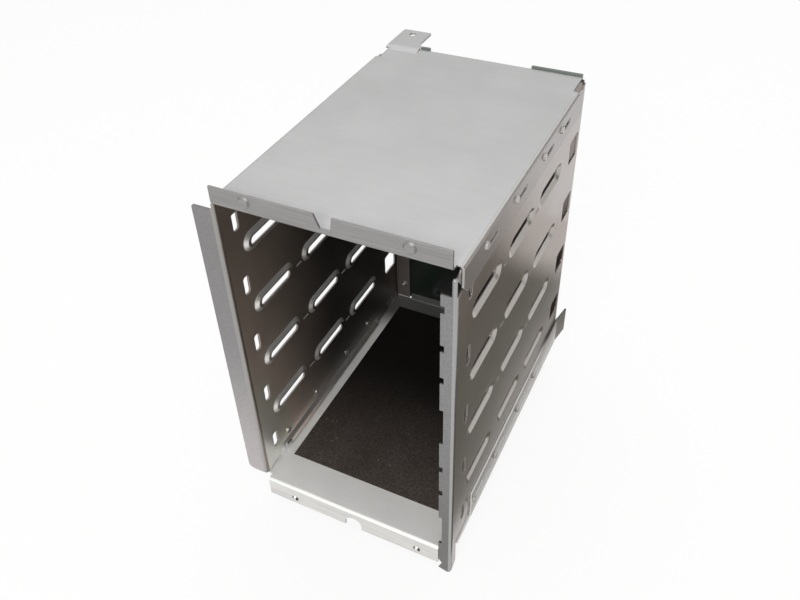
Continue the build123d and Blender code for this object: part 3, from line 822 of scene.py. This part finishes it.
board_piece("chip_bodies", chip_bodies, black_housing)
board_piece("chip_leads", chip_leads, pin_tin)

# Floor, mirror card, world, lamps and camera
low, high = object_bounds()
ground_z = low.z
white = (1, 1, 1, 1)


def stage_face(name, corners, material):
    """A single face through the corners, which isn't part of the object."""
    mesh = bpy.data.meshes.new(name)
    mesh.from_pydata(corners, [], [tuple(range(len(corners)))])
    mesh.update()
    mesh.materials.append(material)
    obj = bpy.data.objects.new(name, mesh)
    scene.collection.objects.link(obj)
    return obj


def node_material(name):
    material = bpy.data.materials.new(name)
    material.use_nodes = True
    return material, Nodes(material.node_tree)


def ground_material():
    """A pale floor that keeps shadows. The camera, metal and glass see it near white."""
    material, ground = node_material("ground_white")
    white_share = 0.88
    path = ground.add("ShaderNodeLightPath")
    glow = ground.add("ShaderNodeEmission", Color=white, Strength=1.0)
    dull = ground.add("ShaderNodeBsdfDiffuse", Color=(0.80, 0.79, 0.78, 1))
    direct = ground.math("ADD", path.outputs["Is Camera Ray"], path.outputs["Is Transmission Ray"])
    seen = ground.math("ADD", direct, path.outputs["Is Glossy Ray"])
    share = ground.math("MULTIPLY", seen, white_share)
    ground.surface(ground.blend(share, dull.outputs[0], glow.outputs[0]))
    return material


reach = 4.0
ground_corners = [(side_x * reach, side_y * reach, ground_z) for side_x, side_y in corner_signs]
stage_face("ground", ground_corners, ground_material())

# The card lies beside the cage for the right wall to mirror. Only reflections see it.
# It is dark in front and light at the rear, and the change runs askew beyond card_turn.
card_left = high.x + 6 * MM
card_near_end = high.x + 32 * MM
card_far_span = (high.x + 50 * MM, high.x + 70 * MM)
card_turn = high.x + 58 * MM
card_right = high.x + 130 * MM
card_slant = 1.48
card_fade_span = (-40 * MM, 80 * MM)
card_fade_share = 0.3
card_dark_end = high.y + 49 * MM
card_light_start = high.y + 93 * MM
card_end = high.y + 138 * MM
card_skew = card_slant * (card_right - card_turn)
card_z = ground_z + MM


def card_material():
    material, card = node_material("card_brown")
    dark_near = (0.140, 0.146, 0.122)
    dark_far = (0.165, 0.138, 0.110)
    light_near = (0.400, 0.385, 0.360)
    light_rear = (0.82, 0.78, 0.75)
    across = card.axis("X")
    askew = card.math("MULTIPLY", card.math("SUBTRACT", across, card_turn), card_slant)
    along = card.math("SUBTRACT", card.axis("Y"), card.math("MAXIMUM", askew, 0.0))
    dark = card.mix(card.span(across, *card_far_span), dark_near, dark_far)
    near = card.span(across, card_left, card_near_end, 1.0, 0.0)
    fade = card.span(card.axis("Y"), *card_fade_span, card_fade_share, 1.0)
    front = card.mix(card.math("MULTIPLY", near, fade), dark, light_near)
    change = card.span(along, card_dark_end, card_light_start)
    glow = card.add("ShaderNodeEmission", Strength=1.0)
    card.link(card.mix(change, front, light_rear), glow.inputs["Color"])
    card.surface(glow.outputs["Emission"])
    return material


card = stage_face(
    "dark_card",
    [
        (card_left, front_y, card_z),
        (card_right, front_y, card_z),
        (card_right, card_end + card_skew, card_z),
        (card_turn, card_end, card_z),
        (card_left, card_end, card_z),
    ],
    card_material(),
)
card.visible_camera = False
card.visible_shadow = False
card.visible_diffuse = False


def studio_world():
    """White to the camera, and a soft grey sky, lighter above, for everything else."""
    world = bpy.data.worlds.new("studio")
    world.use_nodes = True
    sky = Nodes(world.node_tree, "ShaderNodeOutputWorld")
    ambient_strength = 0.8
    below = (0.20, 0.19, 0.18)
    level = (0.42, 0.41, 0.40)
    above = (0.95, 0.96, 0.98)
    path = sky.add("ShaderNodeLightPath")
    plain = sky.add("ShaderNodeBackground", Color=white, Strength=1.0)
    ambient = sky.add("ShaderNodeBackground", Strength=ambient_strength)
    rise = sky.part(sky.place.outputs["Generated"], "Z")
    band = sky.ramp(rise, [(0.0, below), (0.35, level), (0.9, above)])
    sky.link(band, ambient.inputs["Color"])
    sky.surface(sky.blend(path.outputs["Is Camera Ray"], ambient.outputs[0], plain.outputs[0]))
    return world


scene.world = studio_world()
middle = (low + high) / 2


def area_light(name, place, size, power, colour):
    """A soft lamp that points at the middle of the cage."""
    lamp = bpy.data.lights.new(name, "AREA")
    lamp.shape = "RECTANGLE"
    lamp.size, lamp.size_y = size
    lamp.energy = power
    lamp.color = colour
    obj = bpy.data.objects.new(name, lamp)
    scene.collection.objects.link(obj)
    obj.location = place
    obj.rotation_euler = (middle - Vector(place)).to_track_quat("-Z", "Y").to_euler()


area_light("key", (0.20, -1.25, 0.95), size=(0.6, 0.5), power=12.0, colour=(1.0, 0.99, 0.97))
area_light("top", (-0.25, 0.25, 1.35), size=(1.1, 1.1), power=8.0, colour=(0.98, 0.99, 1.0))
area_light("rear", (0.9, 1.1, 0.75), size=(0.7, 0.5), power=3.0, colour=(1.0, 0.99, 0.98))

# Camera fitted to the photograph: its place, its angles, and its focal length and centre in pixels
sensor_width = 36.0
picture_width, picture_height = 800.0, 600.0
focal_pixels = 814.05
centre_x, centre_y = 391.19, 270.17
eye = (0.14348, -0.30417, 0.37786)
azimuth = math.radians(27.704)
elevation = math.radians(38.951)
roll = math.radians(-2.356)

camera_data = bpy.data.cameras.new("camera")
camera_data.sensor_fit = "HORIZONTAL"
camera_data.sensor_width = sensor_width
camera_data.lens = sensor_width * focal_pixels / picture_width
camera_data.shift_x = (picture_width / 2 - centre_x) / picture_width
camera_data.shift_y = (centre_y - picture_height / 2) / picture_width
camera_data.clip_start = 0.01
camera_data.clip_end = 50.0
camera = bpy.data.objects.new("camera", camera_data)
scene.collection.objects.link(camera)
back = Vector(
    (
        math.sin(azimuth) * math.cos(elevation),
        -math.cos(azimuth) * math.cos(elevation),
        math.sin(elevation),
    )
)
right = (-back).cross(Vector((0, 0, 1))).normalized()
up = right.cross(-back).normalized()
turned_right = right * math.cos(roll) + up * math.sin(roll)
turned_up = -right * math.sin(roll) + up * math.cos(roll)
camera.matrix_world = Matrix(
    (
        (turned_right.x, turned_up.x, back.x, eye[0]),
        (turned_right.y, turned_up.y, back.y, eye[1]),
        (turned_right.z, turned_up.z, back.z, eye[2]),
        (0, 0, 0, 1),
    )
)
scene.camera = camera
scene.view_settings.view_transform = "Standard"
